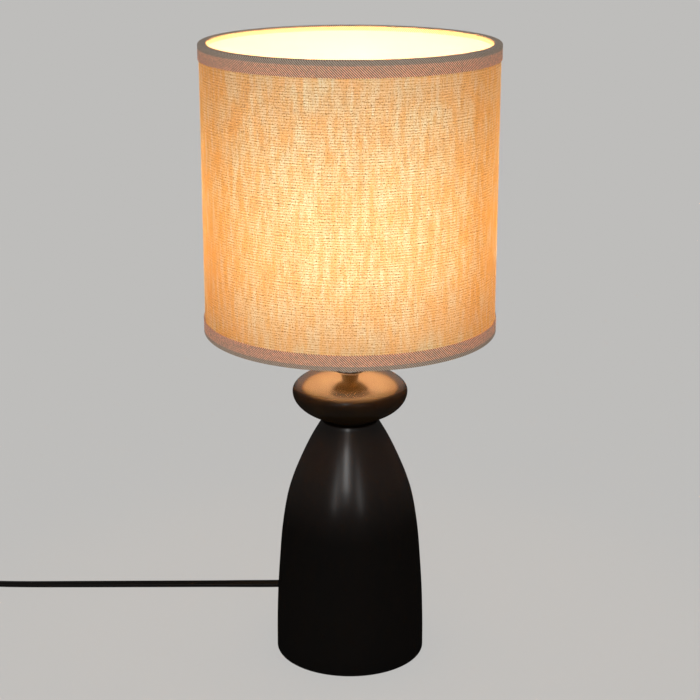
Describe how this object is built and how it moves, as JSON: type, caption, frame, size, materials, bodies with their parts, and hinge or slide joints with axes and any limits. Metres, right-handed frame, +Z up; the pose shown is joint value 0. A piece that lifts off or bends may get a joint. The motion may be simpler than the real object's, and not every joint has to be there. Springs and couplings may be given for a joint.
{
  "type": "table lamp",
  "caption": "Table lamp with a turned ogive body, a flattened ball neck, a cloth drum shade and a flat mains cord with an in-line switch.",
  "frame": {"origin": "on the table, under the middle of the lamp's base", "axes": "+Z up along the lamp's axis; +Y towards the back, where the cord leaves the body; the cord then runs towards -X"},
  "size_m": [0.5594, 0.2105, 0.4381],
  "materials": {
    "black_lacquered_wood": "satin black lacquer on turned wood",
    "black_plastic": "moulded, fine satin",
    "black_pvc": "soft PVC, extruded and moulded",
    "felt": "dark felt",
    "zinc_steel": "zinc plated",
    "brass": "stamped brass",
    "ceramic": "unglazed steatite",
    "white_steel": "white powder coat on wire",
    "white_plastic": "moulded",
    "opal_glass": "opal, frosted, lit from inside",
    "linen_cloth": "plain woven linen look, laminated",
    "linen_band": "the same cloth, folded over the edge",
    "shade_liner": "white translucent film"
  },
  "bodies": {
    "lamp": {"base_felt": "felt", "turned_body": "black_lacquered_wood", "turned_ball": "black_lacquered_wood", "threaded_tube": "zinc_steel", "foot_washer": "zinc_steel", "foot_nut": "zinc_steel", "top_washer": "zinc_steel", "spacer_tube": "black_plastic", "cord_gland": "black_pvc", "inner_lead": "black_pvc", "lead_tie": "black_plastic", "holder_cap": "black_plastic", "holder_insert": "ceramic", "holder_sleeve": "black_plastic", "screw_shell": "brass", "centre_contact": "brass", "terminal_left": "brass", "terminal_right": "brass", "terminal_screw_left": "zinc_steel", "terminal_screw_right": "zinc_steel", "switch_base": "black_plastic", "switch_cover": "black_plastic", "rocker_pin": "zinc_steel", "switch_screw_1": "zinc_steel", "switch_screw_2": "zinc_steel", "switch_contact_in": "brass", "switch_contact_out": "brass", "lamp_cord": "black_pvc", "coil_lead": "black_pvc", "plug_cord": "black_pvc", "cord_coil": "black_pvc", "coil_tie": "black_plastic", "plug_body": "black_pvc", "plug_pin_1": "zinc_steel", "plug_pin_2": "zinc_steel", "pin_sleeve_1": "black_plastic", "pin_sleeve_2": "black_plastic"},
    "bulb_contact": {"bulb_tip": "zinc_steel"},
    "bulb": {"bulb_base_glass": "black_plastic", "bulb_cap": "zinc_steel", "bulb_neck": "white_plastic", "bulb_globe": "opal_glass"},
    "shade": {"shade_cloth": "linen_cloth", "shade_liner": "shade_liner", "upper_wire_ring": "white_steel", "lower_wire_ring": "white_steel", "upper_band": "linen_band", "lower_band": "linen_band", "fitter_ring": "white_steel", "spoke_1": "white_steel", "spoke_2": "white_steel", "spoke_3": "white_steel"},
    "shade_ring": {"shade_ring": "black_plastic"},
    "rocker": {"switch_rocker": "black_plastic"}
  },
  "joints": [
    {"name": "bulb_lift", "type": "slide", "parent": "lamp", "child": "bulb_contact", "axis": [0, 0, 1], "range_m": [0, 0.0145]},
    {"name": "bulb_turn", "type": "hinge", "parent": "bulb_contact", "child": "bulb", "pos_m": [0, 0, 0.3], "axis": [0, 0, 1], "range_deg": [0, 1440]},
    {"name": "shade_lift", "type": "slide", "parent": "lamp", "child": "shade", "axis": [0, 0, 1], "range_m": [0, 0.0223]},
    {"name": "ring_turn", "type": "hinge", "parent": "shade", "child": "shade_ring", "pos_m": [0, 0, 0.272], "axis": [0, 0, 1], "range_deg": [0, 2880]},
    {"name": "rocker_tilt", "type": "hinge", "parent": "lamp", "child": "rocker", "pos_m": [-0.337, 0.097, 0.0102], "axis": [0, 1, 0], "range_deg": [0, 16]}
  ],
  "couplings": [
    {"joint": "bulb_turn", "follows": "bulb_lift", "rad_per_m": 1731.4},
    {"joint": "ring_turn", "follows": "shade_lift", "rad_per_m": 2244}
  ]
}
